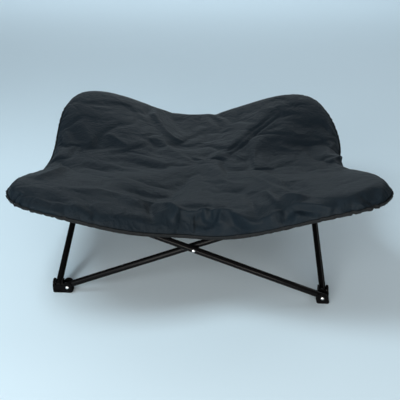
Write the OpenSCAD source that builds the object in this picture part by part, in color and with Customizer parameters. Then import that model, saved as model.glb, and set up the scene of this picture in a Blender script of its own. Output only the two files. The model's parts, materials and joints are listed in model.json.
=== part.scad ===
// Raised dog cot: a folding frame of eight steel tubes, crossed on each of four sides,
// with nylon feet below, nylon hubs above and a padded fabric cover hung on the hubs.
// Millimetres, +Z up. The floor is z = 0 and the origin is midway between the feet.

/* [Frame] */
// Distance between the corner points of neighbouring feet
foot_spacing = 650; // [500:5:900]
// Height from the lower pivot pins to the upper ones, with the cot open
frame_rise = 240; // [200:1:320]
// Outside diameter of a tube
tube_d = 16; // [12:0.5:20]
// Wall of a tube
tube_wall = 1.2; // [0.8:0.1:2]
// Length of tube beyond each end pin
tube_overhang = 7; // [6:0.5:10]
// Space between the two tubes where they cross
cross_gap = 2; // [1:0.5:6]
// Outside diameter of the washer in that space
spacer_d = 13; // [10:0.5:18]

/* [Feet and hubs] */
// Height of the pivot pins above the outer face of a foot or hub
pin_height = 16; // [16:0.5:24]
// Distance of a pivot pin from the corner point, along its side
pin_setback = 15; // [15:0.5:24]
// Thickness of the base plate
base_t = 4.5; // [3:0.5:5]
// Corner radius of the base plate
base_r = 5; // [2:0.5:8]
// Step that eases the outer edge of the base plate
base_step = 1.2; // [0.6:0.1:2]
// Thickness of the ears that hold a pin
ear_t = 4; // [3:0.5:5]
// Half width of an ear, and the radius of its round top
ear_r = 12; // [9:0.5:13]
// Height of an ear above its pin
ear_rise = 13; // [13:0.5:24]
// Side gap between a tube and each ear
ear_gap = 0.5; // [0.3:0.1:1]
// Height of the wall that closes an ear pair, above the pin
end_wall_rise = 3; // [0:0.5:10]
// Diameter of the raised ring under a rivet head
boss_d = 13; // [10:0.5:16]
// Height of that ring
boss_h = 1; // [0.5:0.1:2]

/* [Rivets and plugs] */
// Shank diameter of every rivet
rivet_d = 5; // [3:0.5:6]
// Diameter of a rivet head
rivet_head_d = 8.4; // [7:0.2:10]
// Height of a rivet head
rivet_head_h = 2; // [1.2:0.1:3]
// Radial clearance of a rivet in a foot or hub
rivet_fit = 0.02; // [0.01:0.01:0.1]
// Radial clearance of a rivet in a tube that turns on it
pivot_fit = 0.08; // [0.02:0.01:0.1]
// Length of a plug inside its tube
plug_length = 14; // [12:0.5:20]
// Radial clearance of a plug in its tube
plug_fit = 0.1; // [0.05:0.05:0.3]
// Height of the domed end of a plug
plug_dome = 1.6; // [0.8:0.1:2.5]

/* [Cover] */
// Reach of the cover beyond the corner points
cover_reach = 102; // [70:1:140]
// Squareness of the outline: higher is squarer
cover_squareness = 6.5; // [4:0.5:12]
// Extra reach of each corner: front left, front right, rear right and rear left
corner_reach = [3, 17, -28, 15]; // [-60:1:60]
// Height of each corner lobe above the hubs, in the same order
corner_lift = [28, 44, 44, 28]; // [24:1:60]
// How far the middle of each side is drawn in: front, right, rear and left
side_draw = [47, 32, 31, 4]; // [0:1:60]
// Depth of the sag at the middle of each side below the hubs, in the same order
side_sag = [16, 24, 33, 42]; // [0:1:80]
// Depth of the lying surface at the centre, below the hubs
centre_sag = 60; // [20:1:110]
// Radius of the padded roll along each side, in the same order
side_roll = [31, 20, 22, 19]; // [15:1:35]
// Radius of the padded roll at the corners
corner_roll = 20; // [15:1:35]
// Thickness of the pad where it crosses the tubes
pad_edge_t = 12; // [8:0.5:20]
// Thickness of the pad at the centre
pad_centre_t = 38; // [20:1:60]
// Width of the binding tape along the seam
binding_w = 10; // [6:0.5:16]
// Thickness of the binding tape
binding_t = 3; // [2:0.25:5]
// Angle of the seam below the middle of the roll
seam_angle = 42; // [0:1:70]
// Thickness of the fabric of a corner pocket
pocket_t = 1.5; // [1:0.25:3]
// Gap between soft pieces and what they lie on
soft_gap = 0.3; // [0.2:0.05:0.6]

/* [Hidden] */
$fn = 64;
SIDES = ["front", "right", "rear", "left"];
CORNERS = ["front_left", "front_right", "rear_right", "rear_left"];

// Half the foot spacing: corner points lie at (+-half_side, +-half_side)
half_side = foot_spacing / 2;
// Tubes run in two layers, this far outside and inside the line between the corner points
layer = (tube_d + cross_gap) / 2;
// Heights of the lower pins, the crossing and the upper pins
pin_low = pin_height;
pin_top = pin_height + frame_rise;
pin_mid = (pin_low + pin_top) / 2;
hub_top = pin_top + pin_height;

// Length of a tube between its end pins, and its slope with the cot open
pin_span = foot_spacing - 2 * pin_setback;
tube_span = norm([pin_span, frame_rise]);
tube_slope = atan2(frame_rise, pin_span);
tube_bore_d = tube_d - 2 * tube_wall;

// Half width of an ear pair, and the radius that a tube's end sweeps about its pin
ear_half = tube_d / 2 + ear_gap + ear_t;
end_sweep = norm([tube_overhang, tube_d / 2]);
end_wall_x = -end_sweep - ear_gap;

// Cover: half size, number of grid steps along half a side, and height of its centre
cover_half = half_side + cover_reach;
cover_steps = 17;
centre_top = hub_top - centre_sag;
// Distance from the edge, in roll radii, where the underside has come up to the pad
roll_end = 2.2;
// Steepness of the lying surface towards the sides and towards the corners
rise_side = 2;
rise_corner = 1.15;
// How sharply the rim climbs to the corner lobes, and how sharply the sides draw in
lobe_power = 3.2;
draw_power = 4.6;
// Gap between the binding tape and the roll
tape_gap = 2.5 * soft_gap;
// Main folds of the lying surface: path in plan, half width and height, where a hollow is negative
FOLDS = [
    [[[-380, -30], [-290, -140], [-220, -210], [-140, -225]], 32, 9],
    [[[-390, -340], [-280, -305], [-130, -300]], 26, 5],
    [[[-100, -300], [-15, -350], [65, -350], [150, -390]], 26, 7],
    [[[165, -270], [215, -335], [205, -380]], 30, -9],
    [[[75, 35], [135, 110], [260, 235]], 28, 8],
    [[[110, -220], [60, -160], [55, 30]], 26, -5],
    [[[-340, 370], [-200, 310], [-130, 220]], 26, 6],
    [[[15, 360], [95, 220]], 26, -5],
    [[[-270, 170], [-345, 60], [-330, -30]], 28, -8],
    [[[335, 100], [350, -10], [355, -100]], 26, -6]
];

// Places a piece of the front left corner or of the front side round the cot, k quarter turns on
module quarter_turn(k) {
    rotate([0, 0, 90 * k]) children();
}

// Moves a piece from the corner's own frame to the front left corner point
module at_corner(k) {
    quarter_turn(k) translate([-half_side, -half_side, 0]) children();
}

// Turns a foot over about the corner's diagonal, which makes it an upper hub
module turned_over() {
    translate([0, 0, hub_top]) rotate(a = 180, v = [1, 1, 0]) children();
}

// Cap of a sphere that stands on z = 0
module dome(d, h) {
    ball_r = (d * d / 4 + h * h) / (2 * h);
    intersection() {
        translate([0, 0, h - ball_r]) sphere(r = ball_r);
        cylinder(d = d, h = h);
    }
}

// Rectangle between two corners, with round corners
module rounded_rect(low, high, r) {
    translate([low.x + r, low.y]) square([high.x - low.x - 2 * r, high.y - low.y]);
    translate([low.x, low.y + r]) square([high.x - low.x, high.y - low.y - 2 * r]);
    for (x = [low.x + r, high.x - r], y = [low.y + r, high.y - r]) {
        translate([x, y]) circle(r = r);
    }
}

// Puts a piece made about a pin along Y at the two pins of a foot.
// The tube leaves that piece towards +X, and the outside of the cot is towards -Y.
module at_pins() {
    translate([pin_setback, layer, pin_height]) children();
    translate([-layer, pin_setback, pin_height]) mirror([1, -1, 0]) children();
}

// Plan of the base plate, grown by a margin
module base_plan(margin) {
    low = [-layer - ear_half - margin, layer - ear_half - margin];
    reach = pin_setback + ear_r + margin;
    rounded_rect(low, [reach, layer + ear_half + margin], base_r);
    rounded_rect(low, [-layer + ear_half + margin, reach], base_r);
}

// One ear: a plate with a round top, standing on the outer face of the foot, 2D in x and z
module ear_plan() {
    translate([-ear_r, -pin_height + base_step]) {
        square([2 * ear_r, pin_height - base_step + ear_rise - ear_r]);
    }
    translate([0, ear_rise - ear_r]) circle(r = ear_r);
}

// Two ears about a pin along Y, and the wall behind the tube's end
module ear_pair() {
    for (y = [-ear_half, ear_half - ear_t]) {
        translate([0, y + ear_t, 0]) rotate([90, 0, 0]) linear_extrude(ear_t) ear_plan();
    }
    translate([end_wall_x - ear_t, -ear_half, base_step - pin_height]) {
        cube([ear_t, 2 * ear_half, pin_height - base_step + end_wall_rise]);
    }
}

// Raised ring on the outer ear, under the rivet head
module ear_boss() {
    translate([0, -ear_half, 0]) rotate([90, 0, 0]) cylinder(d = boss_d, h = boss_h);
}

// Bore for a rivet through an ear pair
module rivet_bore() {
    length = 2 * ear_half + boss_h + ear_gap;
    translate([0, ear_half + ear_gap / 2, 0]) rotate([90, 0, 0]) {
        cylinder(d = rivet_d + 2 * rivet_fit, h = length);
    }
}

// Foot in the corner's own frame. The tubes turn in its two ear pairs.
module foot_body() {
    difference() {
        union() {
            linear_extrude(base_t) base_plan(-base_step);
            translate([0, 0, base_step]) linear_extrude(base_t - base_step) base_plan(0);
            intersection() {
                at_pins() ear_pair();
                linear_extrude(pin_height + ear_rise) base_plan(0);
            }
            at_pins() ear_boss();
        }
        at_pins() rivet_bore();
    }
}

// Rivet through an ear pair, about Y: its head is outside and its tail is set flush inside
module pin_rivet() {
    translate([0, -ear_half - boss_h, 0]) rotate([90, 0, 0]) dome(rivet_head_d, rivet_head_h);
    translate([0, ear_half, 0]) rotate([90, 0, 0]) {
        cylinder(d = rivet_d, h = 2 * ear_half + boss_h);
    }
}

// The two rivets of a foot, in the corner's own frame
module corner_rivets() {
    at_pins() pin_rivet();
}

// Lays a piece made along X, centred on the crossing, into a layer of the front side.
// An outer tube rises to the left and an inner one to the right, seen from outside.
module in_layer(outer) {
    translate([0, -half_side + (outer ? -layer : layer), pin_mid]) {
        rotate([0, outer ? tube_slope : -tube_slope, 0]) children();
    }
}

// Holes for the end pins and the crossing rivet, along Y
module tube_bores() {
    for (x = [-tube_span / 2, 0, tube_span / 2]) {
        translate([x, tube_d, 0]) rotate([90, 0, 0]) {
            cylinder(d = rivet_d + 2 * pivot_fit, h = 2 * tube_d);
        }
    }
}

// Straight steel tube with its three cross holes
module tube_body() {
    length = tube_span + 2 * tube_overhang;
    difference() {
        translate([-length / 2, 0, 0]) rotate([0, 90, 0]) difference() {
            cylinder(d = tube_d, h = length);
            translate([0, 0, -tube_d]) cylinder(d = tube_bore_d, h = length + 2 * tube_d);
        }
        tube_bores();
    }
}

// The two plugs that close a tube's ends
module plug_pair() {
    end_x = tube_span / 2 + tube_overhang;
    difference() {
        for (turn = [0, 180]) {
            rotate([0, 0, turn]) translate([end_x, 0, 0]) rotate([0, 90, 0]) {
                dome(tube_d, plug_dome);
                translate([0, 0, -plug_length]) {
                    cylinder(d = tube_bore_d - 2 * plug_fit, h = plug_length);
                }
            }
        }
        tube_bores();
    }
}

// Rivet through both tubes of the front side where they cross
module crossing_rivet() {
    grip = 2 * layer + tube_d + 2 * pivot_fit;
    translate([0, -half_side, pin_mid]) rotate([90, 0, 0]) {
        translate([0, 0, -grip / 2]) cylinder(d = rivet_d, h = grip);
        translate([0, 0, grip / 2]) dome(rivet_head_d, rivet_head_h);
        translate([0, 0, -grip / 2]) mirror([0, 0, 1]) dome(rivet_head_d, rivet_head_h);
    }
}

// Washer on that rivet, between the tubes
module crossing_spacer() {
    width = cross_gap - 2 * pivot_fit;
    translate([0, -half_side + width / 2, pin_mid]) rotate([90, 0, 0]) difference() {
        cylinder(d = spacer_d, h = width);
        translate([0, 0, -width]) cylinder(d = rivet_d + 2 * pivot_fit, h = 3 * width);
    }
}

// Fabric pocket over the base plate of a hub, in the frame of a foot
module pocket_body() {
    difference() {
        translate([0, 0, -soft_gap - pocket_t]) {
            linear_extrude(soft_gap + pocket_t + base_t) base_plan(soft_gap + pocket_t);
        }
        translate([0, 0, -soft_gap]) linear_extrude(2 * base_t) base_plan(soft_gap);
    }
}

// Share of the outline at grid step i: steps get finer towards the edge
function grid_share(i) = 1 - pow(1 - i / cover_steps, 1.5);

// Number of the side that a direction of corner k leans to
function side_of(k, u, v) = v >= u ? k : (k + 3) % 4;

// How far a direction points to a corner lobe: 0 at the middle of a side, 1 at a corner
function lobe_share(u, v) = u + v == 0 ? 0 : pow(2 * u * v / (u * u + v * v), lobe_power);

// Value that goes from a side's own to a corner's own with the direction
function round_rim(sides, corner, k, u, v) =
    let (lobe = lobe_share(u, v)) sides[side_of(k, u, v)] * (1 - lobe) + corner * lobe;

// Share by which the outline grows at a corner lobe and draws in along a side
function growth(k, u, v) =
    let (lean = abs(u * u - v * v) / (u * u + v * v))
    (corner_reach[k] * lobe_share(u, v) - side_draw[side_of(k, u, v)] * pow(lean, draw_power)) / cover_half;

// Plan of grid point (u, v) of corner k, which runs over the unit square
function cover_xy(k, u, v) = u + v == 0 ? [0, 0]
    : let (n = cover_squareness,
           share = max(u, v) / pow(pow(u, n) + pow(v, n), 1 / n),
           size = cover_half * share * (1 + growth(k, u, v)))
      [u * size, v * size];

// Height of the top of the rim, and radius of the roll, in that direction
function rim_top(k, u, v) = hub_top + round_rim(-side_sag, corner_lift[k], k, u, v);
function roll_at(k, u, v) = round_rim(side_roll, corner_roll, k, u, v);

// Half height of a roll, a distance from the edge
function roll_half(r, edge) = sqrt(max(0, r * r - pow(r - edge, 2)));

// Distance of a point from the stretch between two others, and from a path
function stretch_distance(p, a, b) =
    let (t = min(1, max(0, (p - a) * (b - a) / ((b - a) * (b - a))))) norm(p - a - t * (b - a));
function path_distance(p, path) = min([for (i = [1:len(path) - 1]) stretch_distance(p, path[i - 1], path[i])]);

// Height that the folds add at a point of corner k's quarter, which is made over +X and +Y
function fold_lift(k, p) =
    let (turn = 90 * (k + 2),
         placed = [p.x * cos(turn) - p.y * sin(turn), p.x * sin(turn) + p.y * cos(turn)],
         lifts = [for (f = FOLDS) f[2] * exp(-pow(path_distance(placed, f[0]) / f[1], 2))])
    lifts * [for (f = FOLDS) 1];

// Height of the upper face
function top_z(k, u, v) =
    let (ring = max(u, v),
         edge = (1 - ring) * cover_half,
         r = roll_at(k, u, v),
         rise = rise_side + (rise_corner - rise_side) * lobe_share(u, v),
         fold = fold_lift(k, cover_xy(k, u, v)))
    edge < r ? rim_top(k, u, v) - r + roll_half(r, edge) + fold * edge / r
        : centre_top + (rim_top(k, u, v) - centre_top) * pow(ring / (1 - r / cover_half), rise) + fold;

// Thickness of the pad inside the roll
function pad_t(ring) = pad_edge_t + (pad_centre_t - pad_edge_t) * (1 - ring * ring);

// Height of the lower face
function bottom_z(k, u, v) =
    let (ring = max(u, v),
         edge = (1 - ring) * cover_half,
         r = roll_at(k, u, v),
         far = min(1, max(0, (edge / r - 1) / (roll_end - 1))))
    edge < r ? rim_top(k, u, v) - r - roll_half(r, edge)
        : top_z(k, u, v) - (2 * r + (pad_t(ring) - 2 * r) * far);

// Quarter of the padded cover for corner k, over +X and +Y, as one closed mesh
module cushion_quarter(k) {
    n = cover_steps;
    share = [for (i = [0:n]) grid_share(i)];
    upper = [for (i = [0:n], j = [0:n])
        concat(cover_xy(k, share[i], share[j]), top_z(k, share[i], share[j]))];
    lower = [for (i = [0:n - 1], j = [0:n - 1])
        concat(cover_xy(k, share[i], share[j]), bottom_z(k, share[i], share[j]))];
    function top_at(i, j) = i * (n + 1) + j;
    function low_at(i, j) = max(i, j) == n ? top_at(i, j) : len(upper) + i * n + j;
    faces = [
        for (i = [0:n - 1], j = [0:n - 1]) each [
            [top_at(i, j), top_at(i, j + 1), top_at(i + 1, j + 1)],
            [top_at(i, j), top_at(i + 1, j + 1), top_at(i + 1, j)],
            [low_at(i, j), low_at(i + 1, j + 1), low_at(i, j + 1)],
            [low_at(i, j), low_at(i + 1, j), low_at(i + 1, j + 1)]
        ],
        for (j = [0:n - 1]) each [
            [top_at(0, j), low_at(0, j), top_at(0, j + 1)],
            if (j < n - 1) [low_at(0, j), low_at(0, j + 1), top_at(0, j + 1)],
            [top_at(j, 0), top_at(j + 1, 0), low_at(j, 0)],
            if (j < n - 1) [low_at(j, 0), top_at(j + 1, 0), low_at(j + 1, 0)]
        ]
    ];
    translate([soft_gap / 2, soft_gap / 2, 0]) polyhedron(points = concat(upper, lower), faces = faces);
}

// Room under the cover for the pocket, the hub, its rivets and the tubes at the front left corner
module frame_relief() {
    pocket_room = 2 * soft_gap + pocket_t;
    rivet_room = boss_h + rivet_head_h + soft_gap;
    translate([-half_side, -half_side, 0]) turned_over() {
        translate([0, 0, -pocket_room]) linear_extrude(hub_top) base_plan(max(pocket_room, rivet_room));
    }
    for (side = [0, -1], outer = [true, false]) {
        length = tube_span + 2 * tube_overhang;
        width = tube_d + 2 * soft_gap;
        quarter_turn(side) in_layer(outer) {
            translate([-length / 2, -width / 2, -width / 2]) cube([length, width, width]);
        }
    }
}

// Point q along the rim of the quarter, out of twice the grid steps, as a share of the outline
function rim_share(q) = q <= cover_steps ? [grid_share(q), 1] : [1, grid_share(2 * cover_steps - q)];

// Section of corner k's binding tape at rim point q: a flat hexagon against the roll
function binding_ring(k, q) =
    let (s = rim_share(q),
         r = roll_at(k, s.x, s.y),
         power = cover_squareness - 1,
         across = [pow(s.x, power), pow(s.y, power), 0],
         out = across / norm(across),
         up = [0, 0, 1],
         rim = concat(cover_xy(k, s.x, s.y), rim_top(k, s.x, s.y) - r),
         away = out * cos(seam_angle) - up * sin(seam_angle),
         along = out * sin(seam_angle) + up * cos(seam_angle),
         middle = rim - out * r + away * (r + tape_gap + binding_t / 2),
         half_t = binding_t / 2,
         half_w = binding_w / 2)
    [for (p = [[-half_t, half_w - half_t], [0, half_w], [half_t, half_w - half_t],
               [half_t, half_t - half_w], [0, -half_w], [-half_t, half_t - half_w]])
        middle + away * p.x + along * p.y];

// Quarter of the binding tape for corner k, over +X and +Y, swept along the rim
module binding_quarter(k) {
    rings = [for (q = [0:2 * cover_steps]) binding_ring(k, q)];
    sides = len(rings[0]);
    last = len(rings) - 1;
    faces = [
        [for (i = [sides - 1:-1:0]) i],
        [for (i = [0:sides - 1]) last * sides + i],
        for (q = [0:last - 1], i = [0:sides - 1])
            let (a = q * sides + i, b = q * sides + (i + 1) % sides) each [
                [a, b, b + sides],
                [a, b + sides, a + sides]
            ]
    ];
    translate([soft_gap / 2, soft_gap / 2, 0]) polyhedron(points = [for (r = rings) each r], faces = faces);
}

module foot(k) {
    color("#1b1c1e") at_corner(k) foot_body();
}

module foot_rivets(k) {
    color("#d4d6d8") at_corner(k) corner_rivets();
}

module hub(k) {
    color("#1b1c1e") at_corner(k) turned_over() foot_body();
}

module hub_rivets(k) {
    color("#d4d6d8") at_corner(k) turned_over() corner_rivets();
}

module tube(k, outer) {
    color("#141517") quarter_turn(k) in_layer(outer) tube_body();
}

module tube_plugs(k, outer) {
    color("#202124") quarter_turn(k) in_layer(outer) plug_pair();
}

module cross_rivet(k) {
    color("#d4d6d8") quarter_turn(k) crossing_rivet();
}

module cross_spacer(k) {
    color("#202124") quarter_turn(k) crossing_spacer();
}

module corner_pocket(k) {
    color("#26292d") at_corner(k) turned_over() pocket_body();
}

module cushion(k) {
    color("#2b3036") quarter_turn(k) difference() {
        quarter_turn(2) cushion_quarter(k);
        frame_relief();
    }
}

module edge_binding(k) {
    color("#1d2024") quarter_turn(k + 2) binding_quarter(k);
}

for (k = [0:3]) {
    foot(k);
    foot_rivets(k);
    hub(k);
    hub_rivets(k);
    tube(k, true);
    tube(k, false);
    tube_plugs(k, true);
    tube_plugs(k, false);
    cross_rivet(k);
    cross_spacer(k);
    corner_pocket(k);
    cushion(k);
    edge_binding(k);
}
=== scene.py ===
"""Looks of the raised dog cot: padded cover, seam binding, moulded corners, coated tubes and studio."""
from __future__ import annotations

import json
import logging
import math
from collections.abc import Sequence
from dataclasses import dataclass, field
from enum import Enum
from functools import cache

import bmesh
import bpy
import numpy as np
from mathutils import Matrix, Vector

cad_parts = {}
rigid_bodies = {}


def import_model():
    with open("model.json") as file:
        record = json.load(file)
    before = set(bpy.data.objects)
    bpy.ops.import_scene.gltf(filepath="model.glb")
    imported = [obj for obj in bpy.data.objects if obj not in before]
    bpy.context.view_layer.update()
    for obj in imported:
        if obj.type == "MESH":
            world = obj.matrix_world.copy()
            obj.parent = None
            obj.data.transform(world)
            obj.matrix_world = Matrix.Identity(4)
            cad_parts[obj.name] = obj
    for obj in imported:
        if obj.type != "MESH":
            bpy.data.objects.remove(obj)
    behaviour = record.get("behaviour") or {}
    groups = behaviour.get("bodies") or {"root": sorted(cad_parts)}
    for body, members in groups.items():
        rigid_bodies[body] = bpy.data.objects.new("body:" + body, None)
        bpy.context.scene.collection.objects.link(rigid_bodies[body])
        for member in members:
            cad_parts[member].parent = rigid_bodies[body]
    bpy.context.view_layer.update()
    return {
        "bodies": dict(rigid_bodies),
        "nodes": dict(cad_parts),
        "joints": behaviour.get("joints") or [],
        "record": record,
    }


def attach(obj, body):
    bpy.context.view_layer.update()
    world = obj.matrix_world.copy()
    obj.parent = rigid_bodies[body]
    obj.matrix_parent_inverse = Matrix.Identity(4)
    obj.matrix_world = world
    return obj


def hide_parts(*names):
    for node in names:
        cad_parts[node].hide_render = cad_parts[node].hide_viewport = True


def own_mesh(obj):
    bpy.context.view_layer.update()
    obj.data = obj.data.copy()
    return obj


LOG = logging.getLogger("dog_cot")
MM = 0.001
Colour = tuple[float, float, float]
Point = tuple[float, float]


class Corner(Enum):
    """Corners of the cot, as a name and the signs of x and y."""

    FRONT_LEFT = ("front_left", -1, -1)
    FRONT_RIGHT = ("front_right", 1, -1)
    REAR_RIGHT = ("rear_right", 1, 1)
    REAR_LEFT = ("rear_left", -1, 1)

    @property
    def label(self) -> str:
        """Name used by the corner's nodes and bodies."""
        return self.value[0]

    @property
    def sign(self) -> tuple[int, int]:
        """Signs of x and y at this corner."""
        return self.value[1], self.value[2]


# Camera and studio


@dataclass(frozen=True)
class PhotoCamera:
    """Camera at the photograph's viewing angle."""

    azimuth_deg: float = 1.66
    elevation_deg: float = 25.93
    roll_deg: float = 0.56
    distance: float = 1.770
    target: tuple[float, float, float] = (0.0042, 0.0, 0.1027)
    focal_px: float = 620.8
    frame_px: float = 400.0
    sensor_mm: float = 36.0

    def build(self) -> bpy.types.Object:
        """Makes the camera and sets it as the scene's.

        Returns:
            The camera object.
        """
        az, el, roll = (math.radians(a) for a in (self.azimuth_deg, self.elevation_deg, self.roll_deg))
        back = Vector((math.sin(az) * math.cos(el), -math.cos(az) * math.cos(el), math.sin(el)))
        level = Vector((0, 0, 1)).cross(back).normalized()
        rise = back.cross(level)
        right = math.cos(roll) * level + math.sin(roll) * rise
        up = back.cross(right)
        data = bpy.data.cameras.new("photo_camera")
        data.sensor_width = self.sensor_mm
        data.lens = self.focal_px * self.sensor_mm / self.frame_px
        data.clip_end = 60.0
        camera = bpy.data.objects.new("photo_camera", data)
        bpy.context.collection.objects.link(camera)
        place = Matrix((right, up, back)).transposed().to_4x4()
        place.translation = Vector(self.target) + back * self.distance
        camera.matrix_world = place
        bpy.context.scene.camera = camera
        return camera


@dataclass(frozen=True)
class SoftBox:
    """Area lamp aimed at a point of the cot."""

    name: str
    place: tuple[float, float, float]
    size: tuple[float, float]
    watts: float
    colour: Colour = (1.0, 1.0, 1.0)
    aim: tuple[float, float, float] = (0.0, 0.0, 0.15)

    def build(self) -> None:
        """Adds the lamp to the scene."""
        data = bpy.data.lights.new(self.name, "AREA")
        data.shape = "RECTANGLE"
        data.size, data.size_y = self.size
        data.energy = self.watts
        data.color = self.colour
        lamp = bpy.data.objects.new(self.name, data)
        bpy.context.collection.objects.link(lamp)
        lamp.location = self.place
        lamp.rotation_euler = (Vector(self.aim) - Vector(self.place)).to_track_quat("-Z", "Y").to_euler()


@dataclass(frozen=True)
class Studio:
    """Pale floor, soft lamps and ambient light."""

    floor_half: float = 9.0
    ambient: Colour = (0.78, 0.91, 1.0)
    ambient_strength: float = 0.095
    lamps: tuple[SoftBox, ...] = (
        SoftBox("key_top_left", (-1.2, -0.5, 2.25), (1.0, 1.3), 34.5, (0.80, 0.94, 1.0)),
        SoftBox("left_window", (-1.6, -2.6, 1.4), (1.6, 1.2), 22.0, (0.93, 0.98, 1.0)),
        SoftBox("right_window", (2.2, 1.3, 2.2), (1.6, 1.2), 12.0, (0.94, 0.98, 1.0)),
        SoftBox("front_card", (0.0, -3.0, 0.4), (2.5, 0.7), 94.0, (1.0, 0.92, 0.82)),
        SoftBox("front_high", (0.0, -2.6, 1.9), (2.0, 1.0), 9.0),
        SoftBox("back_panel", (-0.2, 5.2, 2.0), (7.0, 2.0), 78.0, (0.80, 0.93, 1.0)),
        SoftBox("back_wash", (-0.4, 5.5, 4.0), (7.0, 4.0), 74.0, (0.93, 0.98, 1.0), (-0.4, 5.6, 0.0)),
    )

    def build(self) -> None:
        """Makes the floor, the lamps and the world."""
        half = self.floor_half
        mesh = bpy.data.meshes.new("floor")
        mesh.from_pydata([(-half, -half, 0), (half, -half, 0), (half, half, 0), (-half, half, 0)], [], [(0, 1, 2, 3)])
        floor = bpy.data.objects.new("floor", mesh)
        bpy.context.collection.objects.link(floor)
        mesh.materials.append(FloorPaper().material())
        for lamp in self.lamps:
            lamp.build()
        world = bpy.data.worlds.new("studio")
        world.use_nodes = True
        background = world.node_tree.nodes["Background"]
        background.inputs["Color"].default_value = (*self.ambient, 1.0)
        background.inputs["Strength"].default_value = self.ambient_strength
        bpy.context.scene.world = world


# Shader building


class Graph:
    """Adds nodes to one tree and links them."""

    def __init__(self, tree: bpy.types.NodeTree) -> None:
        """Starts on a tree.

        Args:
            tree: Shader or geometry tree that gets the nodes.
        """
        self.tree = tree

    def add(self, kind: str, inputs: dict | None = None, **settings: object) -> bpy.types.Node:
        """Adds a node.

        Args:
            kind: Blender's node type.
            inputs: Values or sockets by input name or index.
            **settings: Properties of the node.

        Returns:
            The new node.
        """
        node = self.tree.nodes.new(kind)
        for key, value in settings.items():
            setattr(node, key, value)
        self.feed(node, inputs or {})
        return node

    def feed(self, node: bpy.types.Node, inputs: dict) -> None:
        """Sets or links inputs of a node.

        Args:
            node: The node.
            inputs: Values or sockets by input name or index.
        """
        for key, value in inputs.items():
            if isinstance(value, bpy.types.NodeSocket):
                self.tree.links.new(value, node.inputs[key])
            else:
                node.inputs[key].default_value = value

    def math(self, operation: str, *values: object) -> bpy.types.NodeSocket:
        """Adds a Math node.

        Args:
            operation: Its operation.
            *values: Numbers or sockets for its inputs.

        Returns:
            Its result.
        """
        return self.add("ShaderNodeMath", dict(enumerate(values)), operation=operation).outputs[0]

    def mix_colour(self, share: object, low: object, high: object) -> bpy.types.NodeSocket:
        """Mixes two colours.

        Args:
            share: Number or socket, 0 gives low and 1 gives high.
            low: Colour or socket.
            high: Colour or socket.

        Returns:
            The mixed colour.
        """
        values = {0: share, 6: low, 7: high}
        return self.add("ShaderNodeMix", values, data_type="RGBA").outputs[2]

    def span(self, value: object, low: float, high: float) -> bpy.types.NodeSocket:
        """Maps 0 to 1 onto a range.

        Args:
            value: Socket that runs from 0 to 1.
            low: Result at 0.
            high: Result at 1.

        Returns:
            The mapped value.
        """
        return self.add("ShaderNodeMapRange", {"Value": value, "To Min": low, "To Max": high}).outputs[0]


def shader_group(name: str, inputs: Sequence[tuple[str, str, object]],
                 outputs: Sequence[tuple[str, str]]) -> tuple[Graph, bpy.types.Node, bpy.types.Node]:
    """Starts a shader node group.

    Args:
        name: Name of the group.
        inputs: Name, socket type and default of each input.
        outputs: Name and socket type of each output.

    Returns:
        The graph of the group, its input node and its output node.
    """
    tree = bpy.data.node_groups.new(name, "ShaderNodeTree")
    for label, kind, default in inputs:
        socket = tree.interface.new_socket(label, in_out="INPUT", socket_type=kind)
        if default is not None:
            socket.default_value = default
    for label, kind in outputs:
        tree.interface.new_socket(label, in_out="OUTPUT", socket_type=kind)
    graph = Graph(tree)
    return graph, graph.add("NodeGroupInput"), graph.add("NodeGroupOutput")


VECTOR, VALUE = "NodeSocketVector", "NodeSocketFloat"


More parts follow.
